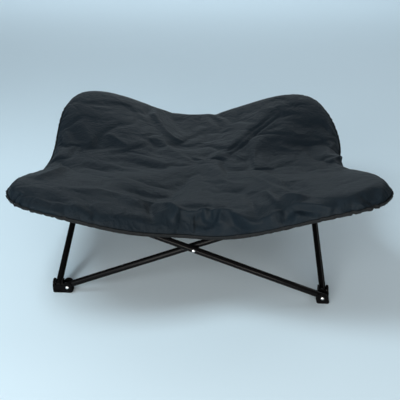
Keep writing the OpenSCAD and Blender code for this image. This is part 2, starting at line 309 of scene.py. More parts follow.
class Effects:
    """Shader groups that several finishes share, each built once."""

    @staticmethod
    @cache
    def crumple() -> bpy.types.NodeTree:
        """Small sharp creases of handled cloth, as a height: two sizes of ridged noise."""
        graph, start, end = shader_group(
            "cloth_crumple", [("Vector", VECTOR, None), ("Creases per metre", VALUE, 24.0)], [("Height", VALUE)])
        total = None
        for share, weight in ((1.0, 0.65), (2.3, 0.35)):
            scale = graph.math("MULTIPLY", start.outputs["Creases per metre"], share)
            noise = graph.add("ShaderNodeTexNoise", {
                "Vector": start.outputs["Vector"], "Scale": scale, "Detail": 1.0, "Distortion": 0.9})
            ridge = graph.math("ABSOLUTE", graph.math("MULTIPLY_ADD", noise.outputs["Fac"], 4.0, -2.0))
            part = graph.math("MULTIPLY", graph.math("MINIMUM", ridge, 1.0), weight)
            total = part if total is None else graph.math("ADD", total, part)
        graph.feed(end, {"Height": graph.math("SUBTRACT", 1.0, total)})
        return graph.tree

    @staticmethod
    @cache
    def weave() -> bpy.types.NodeTree:
        """Plain weave: height of the yarns and a mask of the gaps between them."""
        graph, start, end = shader_group(
            "plain_weave", [("Vector", VECTOR, None), ("Yarns per metre", VALUE, 900.0)],
            [("Height", VALUE), ("Gap", VALUE)])
        scaled = graph.add("ShaderNodeVectorMath", {
            0: start.outputs["Vector"], "Scale": start.outputs["Yarns per metre"]}, operation="SCALE")
        parts = graph.add("ShaderNodeSeparateXYZ", {0: scaled.outputs[0]})
        crowns, cells = [], []
        for axis in ("X", "Y"):
            place = graph.math("FRACT", parts.outputs[axis])
            centred = graph.math("MULTIPLY_ADD", place, 2.0, -1.0)
            crowns.append(graph.math("SUBTRACT", 1.0, graph.math("MULTIPLY", centred, centred)))
            cells.append(graph.math("FLOOR", parts.outputs[axis]))
        over = graph.math("FLOORED_MODULO", graph.math("ADD", cells[0], cells[1]), 2.0)
        height = graph.add("ShaderNodeMix", {0: over, 2: crowns[0], 3: crowns[1]}, data_type="FLOAT").outputs[0]
        graph.feed(end, {"Height": height, "Gap": graph.math("SUBTRACT", 1.0, height)})
        return graph.tree

    @staticmethod
    @cache
    def mottle() -> bpy.types.NodeTree:
        """Slow and fine noise: a tone from 0 to 1 and a fine height."""
        graph, start, end = shader_group(
            "surface_mottle", [("Vector", VECTOR, None), ("Slow scale", VALUE, 6.0), ("Fine scale", VALUE, 300.0)],
            [("Tone", VALUE), ("Fine", VALUE)])
        for scale, detail, output in (("Slow scale", 4.0, "Tone"), ("Fine scale", 2.0, "Fine")):
            noise = graph.add("ShaderNodeTexNoise", {
                "Vector": start.outputs["Vector"], "Scale": start.outputs[scale], "Detail": detail})
            graph.feed(end, {output: noise.outputs["Fac"]})
        return graph.tree

    @staticmethod
    @cache
    def dust() -> bpy.types.NodeTree:
        """Dust that gathers on faces that look up."""
        graph, start, end = shader_group(
            "settled_dust", [("Vector", VECTOR, None), ("Amount", VALUE, 0.2)], [("Mask", VALUE)])
        normal = graph.add("ShaderNodeNewGeometry").outputs["Normal"]
        up = graph.math("MAXIMUM", graph.add("ShaderNodeSeparateXYZ", {0: normal}).outputs["Z"], 0.0)
        noise = graph.add("ShaderNodeTexNoise", {"Vector": start.outputs["Vector"], "Scale": 35.0, "Detail": 5.0})
        patch = graph.math("MULTIPLY", graph.math("POWER", up, 2.0), noise.outputs["Fac"])
        graph.feed(end, {"Mask": graph.math("MULTIPLY", patch, start.outputs["Amount"])})
        return graph.tree


@dataclass(frozen=True)
class Finish:
    """Base of every finish: a material with one Principled shader."""

    name: str = "finish"

    def start(self, **sockets: float) -> tuple[bpy.types.Material, Graph, bpy.types.Node, bpy.types.NodeSocket]:
        """Makes the material.

        Args:
            **sockets: Plain values of the Principled shader, with _ for spaces.

        Returns:
            The material, its graph, its Principled node and its object coordinates, in metres of the cot's frame.
        """
        material = bpy.data.materials.new(self.name)
        material.use_nodes = True
        graph = Graph(material.node_tree)
        shader = material.node_tree.nodes["Principled BSDF"]
        graph.feed(shader, {key.replace("_", " "): value for key, value in sockets.items()})
        return material, graph, shader, graph.add("ShaderNodeTexCoord").outputs["Object"]


def effect(graph: Graph, tree: bpy.types.NodeTree, place: bpy.types.NodeSocket, **values: float) -> bpy.types.Node:
    """Places a shared effect in a material.

    Args:
        graph: Graph of the material.
        tree: Group of the effect.
        place: Coordinates that it is laid out on.
        **values: Its other inputs, with _ for spaces.

    Returns:
        The node of the group.
    """
    inputs = {key.replace("_", " "): value for key, value in values.items()}
    return graph.add("ShaderNodeGroup", {"Vector": place, **inputs}, node_tree=tree)


def bump(graph: Graph, height: object, distance: float, strength: float,
         under: object | None = None) -> bpy.types.NodeSocket:
    """Adds a Bump node.

    Args:
        graph: Graph of the material.
        height: Socket with the height, 0 to 1.
        distance: Real height in metres.
        strength: Strength of the node.
        under: Normal of a coarser bump, if there is one.

    Returns:
        The bumped normal.
    """
    inputs = {"Height": height, "Distance": distance, "Strength": strength}
    if under is not None:
        inputs["Normal"] = under
    return graph.add("ShaderNodeBump", inputs).outputs["Normal"]


@dataclass(frozen=True)
class WovenFabric(Finish):
    """Woven polyester: yarns with painted shade in the gaps between them, small creases, a faint uneven tone of the
    cloth and a little lint.
    """

    name: str = "cover_fabric"
    colour: Colour = (0.0040, 0.0083, 0.0131)
    worn_colour: Colour = (0.0064, 0.0120, 0.0177)
    # Painted shade: colour of the gaps between the yarns.
    gap_colour: Colour = (0.006, 0.007, 0.008)
    lint_colour: Colour = (0.16, 0.17, 0.18)
    roughness: tuple[float, float] = (0.48, 0.60)
    specular: float = 0.09
    yarns_per_metre: float = 900.0
    yarn_height: float = 0.25 * MM
    fibre_height: float = 0.5 * MM
    crease_height: float = 1.5 * MM
    gap_share: float = 0.45
    lint: float = 0.01

    def material(self) -> bpy.types.Material:
        """Builds the material."""
        material, graph, shader, place = self.start(Specular_IOR_Level=self.specular)
        cloth = graph.add("ShaderNodeUVMap", uv_map="fabric").outputs["UV"]
        weave = effect(graph, Effects.weave(), cloth, Yarns_per_metre=self.yarns_per_metre)
        mottle = effect(graph, Effects.mottle(), place, Slow_scale=9.0, Fine_scale=160.0)
        lint = effect(graph, Effects.dust(), place, Amount=self.lint)
        crumple = effect(graph, Effects.crumple(), place)
        dyed = graph.mix_colour(mottle.outputs["Tone"], (*self.colour, 1.0), (*self.worn_colour, 1.0))
        # Painted shade: the gaps between the yarns get the darker gap colour.
        gaps = graph.math("MULTIPLY", weave.outputs["Gap"], self.gap_share)
        shaded = graph.mix_colour(gaps, dyed, (*self.gap_colour, 1.0))
        creased = bump(graph, crumple.outputs["Height"], self.crease_height, 1.0)
        soft = bump(graph, mottle.outputs["Fine"], self.fibre_height, 0.35, creased)
        graph.feed(shader, {
            "Base Color": graph.mix_colour(lint.outputs["Mask"], shaded, (*self.lint_colour, 1.0)),
            "Roughness": graph.span(mottle.outputs["Tone"], *self.roughness),
            "Normal": bump(graph, weave.outputs["Height"], self.yarn_height, 0.5, soft)})
        return material


@dataclass(frozen=True)
class GrainedBlack(Finish):
    """Black surface with a fine grain and a dusting."""

    colour: Colour = (0.0030, 0.0030, 0.0034)
    roughness: tuple[float, float] = (0.30, 0.44)
    patch_scale: float = 45.0
    grain_scale: float = 1400.0
    grain_height: float = 0.10 * MM
    grain_strength: float = 0.4
    dust: float = 0.015
    dust_colour: Colour = (0.12, 0.12, 0.12)
    specular: float = 0.03
    coat: float = 0.0

    def material(self) -> bpy.types.Material:
        """Builds the material."""
        material, graph, shader, place = self.start(
            Coat_Weight=self.coat, Coat_Roughness=0.03, Specular_IOR_Level=self.specular)
        mottle = effect(graph, Effects.mottle(), place, Slow_scale=self.patch_scale, Fine_scale=self.grain_scale)
        dust = effect(graph, Effects.dust(), place, Amount=self.dust)
        graph.feed(shader, {
            "Base Color": graph.mix_colour(dust.outputs["Mask"], (*self.colour, 1.0), (*self.dust_colour, 1.0)),
            "Roughness": graph.span(mottle.outputs["Tone"], *self.roughness),
            "Normal": bump(graph, mottle.outputs["Fine"], self.grain_height, self.grain_strength)})
        return material


@dataclass(frozen=True)
class MouldedPlastic(GrainedBlack):
    """Moulded nylon with a fine spark-eroded grain."""

    name: str = "black_nylon"


@dataclass(frozen=True)
class PowderCoat(GrainedBlack):
    """Gloss black powder coat with a faint orange peel and a dusting."""

    name: str = "black_powder_coat"
    roughness: tuple[float, float] = (0.14, 0.22)
    patch_scale: float = 22.0
    grain_scale: float = 700.0
    grain_height: float = 0.12 * MM
    grain_strength: float = 0.25
    dust: float = 0.02
    dust_colour: Colour = (0.10, 0.10, 0.10)
    specular: float = 0.02
    coat: float = 0.13


@dataclass(frozen=True)
class ZincPlate(Finish):
    """Zinc plated steel with uneven brightness."""

    name: str = "zinc_rivet"
    colour: Colour = (0.78, 0.79, 0.80)
    stain: Colour = (0.46, 0.46, 0.45)
    roughness: tuple[float, float] = (0.20, 0.38)
    grain_height: float = 0.05 * MM

    def material(self) -> bpy.types.Material:
        """Builds the material."""
        material, graph, shader, place = self.start(Metallic=1.0)
        mottle = effect(graph, Effects.mottle(), place, Slow_scale=260.0, Fine_scale=1500.0)
        stained = graph.math("POWER", mottle.outputs["Tone"], 3.0)
        graph.feed(shader, {
            "Base Color": graph.mix_colour(stained, (*self.colour, 1.0), (*self.stain, 1.0)),
            "Roughness": graph.span(mottle.outputs["Tone"], *self.roughness),
            "Normal": bump(graph, mottle.outputs["Fine"], self.grain_height, 0.3)})
        return material


@dataclass(frozen=True)
class FloorPaper(Finish):
    """Pale blue-grey studio paper."""

    name: str = "floor_paper"
    colour: Colour = (0.71, 0.83, 0.91)
    light_patches: float = 1.02

    def material(self) -> bpy.types.Material:
        """Builds the material."""
        material, graph, shader, place = self.start(Roughness=0.85, Specular_IOR_Level=0.2)
        mottle = effect(graph, Effects.mottle(), place, Slow_scale=1.5)
        light = tuple(self.light_patches * c for c in self.colour)
        graph.feed(shader, {
            "Base Color": graph.mix_colour(mottle.outputs["Tone"], (*self.colour, 1.0), (*light, 1.0))})
        return material


# The padded cover


@dataclass(frozen=True)
class Fold:
    """A fold in the top of the cover, all in millimetres: its width, its heights on the right, along it and on
    the left, and its curve in plan."""

    width: float
    heights: tuple[float, float, float]
    path: tuple[Point, ...]
    decay: float = 1.8
    crest: float = 0.02
    crest_drop: float = 0.141

    def lift(self, plan: np.ndarray) -> np.ndarray:
        """Height that the fold adds at points of the cover.

        Args:
            plan: Points, shape (n, 2).

        Returns:
            Heights, shape (n,).
        """
        curve = smooth_path(np.array(self.path) / 1000)
        best = np.full(len(plan), np.inf)
        side = np.zeros(len(plan))
        along = np.zeros(len(plan))
        steps = np.linalg.norm(np.diff(curve, axis=0), axis=1)
        reach = np.concatenate([[0.0], np.cumsum(steps)])
        for n, (a, b) in enumerate(zip(curve[:-1], curve[1:])):
            run = b - a
            t = np.clip((plan - a) @ run / (run @ run), 0.0, 1.0)
            gap = plan - (a + t[:, None] * run)
            distance = np.hypot(gap[:, 0], gap[:, 1])
            near = distance < best
            best = np.where(near, distance, best)
            side = np.where(near, np.sign(run[0] * gap[:, 1] - run[1] * gap[:, 0]), side)
            along = np.where(near, (reach[n] + t * steps[n]) / reach[-1], along)
        taper = np.sin(math.pi * along) ** 0.5
        across = best * side / (self.width / 1000)
        lift = np.zeros(len(plan))
        for place, height in zip((-1, 0, 1), self.heights):
            lift += height * np.exp(-self.decay * (np.sqrt((across - place) ** 2 + self.crest) - self.crest_drop))
        return MM * taper * lift


def smooth_path(points: np.ndarray, steps: int = 10) -> np.ndarray:
    """Catmull-Rom curve through points.

    Args:
        points: Points to pass, shape (n, 2).
        steps: Pieces between two points.

    Returns:
        Points along the curve.
    """
    padded = np.vstack([2 * points[0] - points[1], points, 2 * points[-1] - points[-2]])
    curve = []
    for a, b, c, d in zip(padded[:-3], padded[1:-2], padded[2:-1], padded[3:]):
        for t in np.linspace(0, 1, steps, endpoint=False):
            curve.append(0.5 * (2 * b + (c - a) * t + (2 * a - 5 * b + 4 * c - d) * t * t
                                + (3 * b - a - 3 * c + d) * t ** 3))
    curve.append(points[-1])
    return np.array(curve)


@dataclass(frozen=True)
class CoverForm:
    """Shape of the cover before it creases. Corners run front left, front right, rear right, rear left,
    and sides run front, right, rear, left."""

    half_size: float = 0.427
    squareness: float = 6.5
    lobe_power: float = 3.2
    draw_power: float = 4.6
    corner_roll: float = 0.014
    side_roll: tuple[float, ...] = (0.031, 0.018, 0.020, 0.017)
    roll_reach: float = 1.9
    seam_drop: float = 1.7
    seam_share: float = 0.73
    slope_out: float = 0.3
    slope_down: float = 0.25
    corner_reach: tuple[float, ...] = (0.007, 0.036, -0.105, 0.035)
    thin_roll: float = 0.016
    thin_height: float = 0.230
    thin_start: float = 0.22
    thin_fade: float = 0.12
    corner_tip: tuple[float, ...] = (0.013, 0.018, 0.0, 0.010)
    tip_power: int = 16
    saddle_shift: float = 0.10
    saddle_power: int = 6
    corner_height: tuple[float, ...] = (0.300, 0.325, 0.316, 0.300)
    side_draw: tuple[float, ...] = (0.110, 0.086, 0.073, 0.009)
    side_height: tuple[float, ...] = (0.248, 0.245, 0.236, 0.227)
    centre_height: float = 0.212
    rise_side: float = 2.0
    rise_corner: float = 1.15
    crest_power: int = 12
    hollow: float = 0.18
    pad_edge: float = 0.014
    pad_centre: float = 0.038
    pad_end: float = 0.91
    pad_fade: float = 0.09

    def _shifted(self, angle: np.ndarray) -> np.ndarray:
        """Directions turned near the rear side, whose saddle lies to the left of the middle."""
        return angle - self.saddle_shift * np.maximum(np.sin(angle), 0.0) ** self.saddle_power

    def _weights(self, angle: np.ndarray) -> tuple[np.ndarray, np.ndarray, np.ndarray]:
        """How far a direction points to a corner, and the corner and side that it is nearest to.

        Args:
            angle: Directions in plan, in radians.

        Returns:
            Share of the corner, number of the corner and number of the side.
        """
        lobe = np.abs(np.sin(2 * self._shifted(angle))) ** self.lobe_power
        c, s = np.cos(angle), np.sin(angle)
        corner = np.where(s < 0, np.where(c < 0, 0, 1), np.where(c < 0, 3, 2))
        side = np.where(np.abs(s) > np.abs(c), np.where(s < 0, 0, 2), np.where(c > 0, 1, 3))
        return lobe, corner, side

    def outline(self, angle: np.ndarray) -> np.ndarray:
        """Distance of the edge from the middle, by direction."""
        lobe, corner, side = self._weights(angle)
        n = self.squareness
        square = (np.abs(np.cos(angle)) ** n + np.abs(np.sin(angle)) ** n) ** (-1 / n)
        draw = np.array(self.side_draw)[side] * np.abs(np.cos(2 * self._shifted(angle))) ** self.draw_power
        reach = np.array(self.corner_reach)[corner] * lobe
        tip = np.array(self.corner_tip)[corner] * np.abs(np.sin(2 * angle)) ** self.tip_power
        return self.half_size * square * (1 - draw + reach + tip)

    def _thin(self, angle: np.ndarray) -> np.ndarray:
        """Share of the left half of the front side, where the padding is thin."""
        thin = 0.5 - 0.5 * np.tanh((angle + math.pi / 2 + self.thin_start) / self.thin_fade)
        return np.where(self._weights(angle)[2] == 0, thin, 0.0)

    def roll(self, angle: np.ndarray) -> np.ndarray:
        """Radius of the padded roll along the edge, by direction."""
        lobe, _, side = self._weights(angle)
        full = np.array(self.side_roll)[side]
        return (full + (self.thin_roll - full) * self._thin(angle)) * (1 - lobe) + self.corner_roll * lobe

    def rim_height(self, angle: np.ndarray) -> np.ndarray:
        """Height of the top of the edge roll, by direction."""
        lobe, corner, side = self._weights(angle)
        full = np.array(self.side_height)[side]
        middle = full + (self.thin_height - full) * self._thin(angle)
        return middle * (1 - lobe) + np.array(self.corner_height)[corner] * lobe

    def top_height(self, ring: np.ndarray, angle: np.ndarray) -> np.ndarray:
        """Height of the upper face inside the roll, by share of the way to it."""
        lobe = self._weights(angle)[0]
        rise = self.rise_side + (self.rise_corner - self.rise_side) * lobe
        soft = (np.sqrt(ring ** 2 + self.hollow ** 2) - self.hollow) / (math.sqrt(1 + self.hollow ** 2) - self.hollow)
        share = soft ** rise + rise * (1 - soft) * soft ** self.crest_power
        return self.centre_height + (self.rim_height(angle) - self.centre_height) * share

    def edge_profile(self, number: int, seam: int, last: int) -> tuple[float, float]:
        """Section of the edge: a rounded slope down to the seam and a short turn back under it.

        Args:
            number: Number of the ring, from 0 at the crest.
            seam: Number of the ring at the seam.
            last: Number of the ring under the crest.

        Returns:
            Reach outwards and drop below the crest, in radii of the roll.
        """
        if number <= seam:
            share = number / seam
            reach = self.slope_out * share + (1 - self.slope_out) * math.sin(share * math.pi / 2)
            drop = self.slope_down * share + (1 - self.slope_down) * (1 - math.cos(share * math.pi / 2))
            return self.roll_reach * reach, self.seam_drop * drop
        turn = (number - seam) / (last - seam) * math.pi / 2
        return self.roll_reach * math.cos(turn), self.seam_drop + (2 - self.seam_drop) * math.sin(turn)

    def thickness(self, ring: np.ndarray, angle: np.ndarray) -> np.ndarray:
        """Thickness of the pad inside the roll: thin over the tubes, full in the roll and the middle."""
        pad = self.pad_edge + (self.pad_centre - self.pad_edge) * (1 - ring ** 2)
        blend = np.clip((ring - self.pad_end) / self.pad_fade, 0.0, 1.0) ** 2
        return pad * (1 - blend) + 2 * self.roll(angle) * blend


@dataclass
class CoverMesh:
    """Grid of the cover: an upper square, rings round the roll and a lower square."""

    form: CoverForm
    cell: float = 4.8 * MM
    places: np.ndarray = field(init=False)
    cloth: np.ndarray = field(init=False)
    faces: np.ndarray = field(init=False)
    quarter: np.ndarray = field(init=False)
    layer: np.ndarray = field(init=False)

    def __post_init__(self) -> None:
        """Lays out the grid."""
        form = self.form
        self.half_steps = round((form.half_size - form.side_roll[0]) / self.cell)
        self.roll_steps = round(math.pi * form.side_roll[0] / self.cell)
        steps = np.arange(-self.half_steps, self.half_steps + 1)
        row, column = (a.ravel() for a in np.meshgrid(steps, steps, indexing="ij"))
        ring = np.maximum(np.abs(row), np.abs(column)) / self.half_steps
        angle = np.arctan2(column, row)
        angle[(row == 0) & (column == 0)] = 0.0
        inner = form.outline(angle) - form.roll_reach * form.roll(angle)
        plan = (ring * inner)[:, None] * np.stack([np.cos(angle), np.sin(angle)], 1)
        top = form.top_height(ring, angle)
        upper = np.column_stack([plan, top])
        lower = np.column_stack([plan, top - form.thickness(ring, angle)])
        loop = self._edge_loop()
        edge = self._grid_index(loop[:, 0], loop[:, 1])
        edge_angle = angle[edge]
        ahead = plan[edge][(np.arange(len(edge)) + 1) % len(edge)] - plan[edge][np.arange(len(edge)) - 1]
        out = np.column_stack([ahead[:, 1], -ahead[:, 0]])
        out /= np.linalg.norm(out, axis=1)[:, None]
        radius = form.roll(edge_angle)
        self.edge_angle, self.edge_roll = edge_angle, radius
        self.seam_ring = round(form.seam_share * self.roll_steps)
        crest = np.column_stack([plan[edge], form.rim_height(edge_angle)])
        rings, ring_cloth, length = [], [], np.zeros(len(edge))
        for n in range(1, self.roll_steps):
            reach, drop = form.edge_profile(n, self.seam_ring, self.roll_steps)
            rings.append(crest + np.column_stack([out * (radius * reach)[:, None], -radius * drop]))
            length = length + np.linalg.norm(rings[-1] - (rings[-2] if n > 1 else crest), axis=1)
            ring_cloth.append(plan[edge] + out * length[:, None])
        self.places = np.vstack([upper, *rings, lower])
        lower_cloth = plan + np.array([2 * form.half_size + 4 * form.side_roll[0], 0.0])
        self.cloth = np.vstack([plan, *ring_cloth, lower_cloth])
        self.layer = np.concatenate([
            np.zeros(len(upper), int), np.repeat(np.arange(1, self.roll_steps), len(edge)),
            np.full(len(lower), self.roll_steps)])
        self._make_faces(edge, loop)

    def _grid_index(self, row: np.ndarray, column: np.ndarray) -> np.ndarray:
        """Number of a point of the upper square."""
        side = 2 * self.half_steps + 1
        return (row + self.half_steps) * side + column + self.half_steps

    def _edge_loop(self) -> np.ndarray:
        """Rows and columns of the square's edge, anticlockwise from above."""
        n = self.half_steps
        span = np.arange(-n, n)
        full = np.full(2 * n, n)
        return np.vstack([np.column_stack(p) for p in (
            (full, span), (-span, full), (-full, -span), (span, -full))])

    def _make_faces(self, edge: np.ndarray, loop: np.ndarray) -> None:
        """Joins the points with quads, and notes the quarter that each belongs to.

        Args:
            edge: Numbers of the upper square's edge points.
            loop: Their rows and columns.
        """
        n = self.half_steps
        steps = np.arange(-n, n)
        row, column = (a.ravel() for a in np.meshgrid(steps, steps, indexing="ij"))
        a, b = self._grid_index(row, column), self._grid_index(row + 1, column)
        c, d = self._grid_index(row + 1, column + 1), self._grid_index(row, column + 1)
        square = np.column_stack([a, b, c, d])
        square_quarter = self._quarter_of(row + 0.5, column + 0.5)
        upper_count = (2 * n + 1) ** 2
        count = len(edge)
        rings = [edge] + [upper_count + k * count + np.arange(count) for k in range(self.roll_steps - 1)]
        first_lower = upper_count + (self.roll_steps - 1) * count
        rings.append(first_lower + edge)
        bands, band_quarters = [], []
        following = (np.arange(count) + 1) % count
        middle = (loop + loop[following]) / 2
        for high, low in zip(rings[:-1], rings[1:]):
            bands.append(np.column_stack([high, low, low[following], high[following]]))
            band_quarters.append(self._quarter_of(middle[:, 0], middle[:, 1]))
        self.rings = rings
        self.faces = np.vstack([square, *bands, first_lower + square[:, ::-1]])
        self.quarter = np.concatenate([square_quarter, *band_quarters, square_quarter])
        self.first_lower = first_lower
        self.centre = int(self._grid_index(0, 0))

    @staticmethod
    def _quarter_of(x: np.ndarray, y: np.ndarray) -> np.ndarray:
        """Number of the corner, in the order of Corner, that a point belongs to."""
        return np.where(y < 0, np.where(x < 0, 0, 1), np.where(x < 0, 3, 2))

    def to_mesh(self, name: str) -> bpy.types.Mesh:
        """Makes a Blender mesh, with the quarter of each face as its material number.

        Args:
            name: Name of the mesh.

        Returns:
            The mesh, with a UV map in metres of cloth.
        """
        mesh = bpy.data.meshes.new(name)
        mesh.from_pydata(self.places.tolist(), [], self.faces.tolist())
        mesh.polygons.foreach_set("material_index", self.quarter.astype(np.int32))
        lay_cloth(mesh, self.cloth)
        mesh.update()
        return mesh


def lay_cloth(mesh: bpy.types.Mesh, cloth: np.ndarray) -> None:
    """Gives a mesh smooth shading and a UV map in metres of cloth.

    Args:
        mesh: The mesh.
        cloth: Place of each point on the flat cloth, shape (n, 2).
    """
    corners = np.empty(len(mesh.loops), np.int32)
    mesh.loops.foreach_get("vertex_index", corners)
    mesh.uv_layers.new(name="fabric").data.foreach_set("uv", cloth[corners].astype(np.float32).ravel())
    mesh.polygons.foreach_set("use_smooth", np.ones(len(mesh.polygons), bool))


def add_object(name: str, mesh: bpy.types.Mesh) -> bpy.types.Object:
    """Links a new object that shows a mesh.

    Args:
        name: Name of the object.
        mesh: Its mesh.

    Returns:
        The object.
    """
    thing = bpy.data.objects.new(name, mesh)
    bpy.context.collection.objects.link(thing)
    return thing


def settled_mesh(thing: bpy.types.Object) -> bpy.types.Mesh:
    """Plain mesh of an object with its modifiers applied."""
    depsgraph = bpy.context.evaluated_depsgraph_get()
    return bpy.data.meshes.new_from_object(thing.evaluated_get(depsgraph), depsgraph=depsgraph)


def mesh_places(mesh: bpy.types.Mesh) -> np.ndarray:
    """Places of a mesh's points, shape (n, 3)."""
    values = np.empty(3 * len(mesh.vertices), np.float32)
    mesh.vertices.foreach_get("co", values)
    return values.reshape(-1, 3).astype(float)


@dataclass(frozen=True)
class Gathers:
    """Small puckers where the cloth is gathered into the seam round the corners."""

    height: float = 1.5 * MM
    pitch: float = 0.021
    depth: float = 0.030
    seed: int = 5

    def lift(self, along: np.ndarray, from_seam: np.ndarray, corner_share: np.ndarray) -> np.ndarray:
        """Height of the puckers.

        Args:
            along: Distance along the edge, in metres.
            from_seam: Distance from the seam over the cloth, in metres.
            corner_share: 1 at a corner and 0 at the middle of a side.

        Returns:
            Heights in metres.
        """
        rng = np.random.default_rng(self.seed)
        total = np.zeros_like(along)
        for share in (0.55, 0.8, 1.0, 1.35):
            wander = 0.6 * np.sin(along * rng.uniform(5, 14) + rng.uniform(0, 6.3))
            total += np.sin(2 * math.pi * along / (self.pitch * share) + 3 * wander + rng.uniform(0, 6.3))
        fade = np.exp(-(from_seam / self.depth) ** 1.5)
        return self.height * 0.5 * total * fade * (0.06 + 0.94 * corner_share)


@dataclass(frozen=True)
class SlackCloth:
    """Settings of the cloth that settles over the padding."""

    slack: float = 0.022
    hold: float = 0.10
    puff: float = 1.2
    bend: float = 1.5
    frames: int = 22
    furthest: float = 0.003

    def settle(self, places: np.ndarray, faces: np.ndarray, held: np.ndarray) -> np.ndarray:
        """Lets slack cloth buckle.

        Args:
            places: Points of the cloth at the start, shape (n, 3).
            faces: Its quads.
            held: Numbers of the points that don't move.

        Returns:
            Places of the points after it settles.
        """
        mesh = bpy.data.meshes.new("slack_cloth")
        mesh.from_pydata(places.tolist(), [], faces.tolist())
        thing = add_object("slack_cloth", mesh)
        group = thing.vertex_groups.new(name="held")
        group.add(list(range(len(places))), self.hold, "REPLACE")
        group.add([int(n) for n in held], 1.0, "REPLACE")
        modifier = thing.modifiers.new("cloth", "CLOTH")
        cloth = modifier.settings
        cloth.quality = 5
        cloth.mass = 0.2
        cloth.air_damping = 3.0
        cloth.tension_stiffness = cloth.compression_stiffness = 18.0
        cloth.shear_stiffness = 8.0
        cloth.bending_stiffness = self.bend
        cloth.vertex_group_mass = "held"
        cloth.pin_stiffness = 0.5
        cloth.shrink_min = -self.slack
        cloth.use_pressure = True
        cloth.uniform_pressure_force = self.puff
        cloth.effector_weights.gravity = 0.0
        modifier.collision_settings.use_collision = False
        modifier.point_cache.frame_start = 1
        modifier.point_cache.frame_end = self.frames
        scene = bpy.context.scene
        for number in range(1, self.frames + 1):
            scene.frame_set(number)
        moved = mesh_places(settled_mesh(thing)) - places
        scene.frame_set(1)
        bpy.data.objects.remove(thing)
        length = np.linalg.norm(moved, axis=1)
        LOG.info("slack cloth moved %.1f mm at most, %.1f mm at the median", 1000 * length.max(),
                 1000 * np.median(length))
        share = np.minimum(1.0, self.furthest / np.maximum(length, 1e-9))
        return places + moved * share[:, None]


@dataclass(frozen=True)
class CrispCreases:
    """Flattens cloth between its creases, as stiff coated cloth lies."""

    rounds: int = 5
    spread: float = 0.16
    steps: int = 8

    def apply(self, places: np.ndarray, faces: np.ndarray, held: np.ndarray) -> np.ndarray:
        """Evens out the normals of neighbouring faces that nearly agree, and moves the points to suit.

        Args:
            places: Points of the cloth, shape (n, 3).
            faces: Its quads.
            held: Numbers of the points that don't move.

        Returns:
            The new places.
        """
        first, second = self._neighbours(faces)
        normals = unit(np.cross(places[faces[:, 2]] - places[faces[:, 0]], places[faces[:, 3]] - places[faces[:, 1]]))
        for _ in range(self.rounds):
            step = normals[first] - normals[second]
            weight = np.exp(-(step ** 2).sum(1) / (2 * self.spread ** 2))[:, None]
            total = normals.copy()
            for axis in range(3):
                total[:, axis] += np.bincount(first, weight[:, 0] * normals[second, axis], len(faces))
                total[:, axis] += np.bincount(second, weight[:, 0] * normals[first, axis], len(faces))
            normals = unit(total)
        count = np.bincount(faces.ravel(), minlength=len(places))
        moved = places.copy()
        for _ in range(self.steps):
            middle = moved[faces].mean(axis=1)
            shift = np.zeros_like(moved)
            for corner in range(4):
                off = ((middle - moved[faces[:, corner]]) * normals).sum(1)
                for axis in range(3):
                    shift[:, axis] += np.bincount(faces[:, corner], off * normals[:, axis], len(places))
            moved += shift / np.maximum(count, 1)[:, None]
            moved[held] = places[held]
        return moved

    @staticmethod
    def _neighbours(faces: np.ndarray) -> tuple[np.ndarray, np.ndarray]:
        """Pairs of faces that share an edge."""
        edges = np.sort(np.vstack([faces[:, [n, (n + 1) % 4]] for n in range(4)]), axis=1)
        owner = np.tile(np.arange(len(faces)), 4)
        order = np.lexsort((edges[:, 1], edges[:, 0]))
        edges, owner = edges[order], owner[order]
        same = (edges[1:] == edges[:-1]).all(axis=1)
        return owner[:-1][same], owner[1:][same]


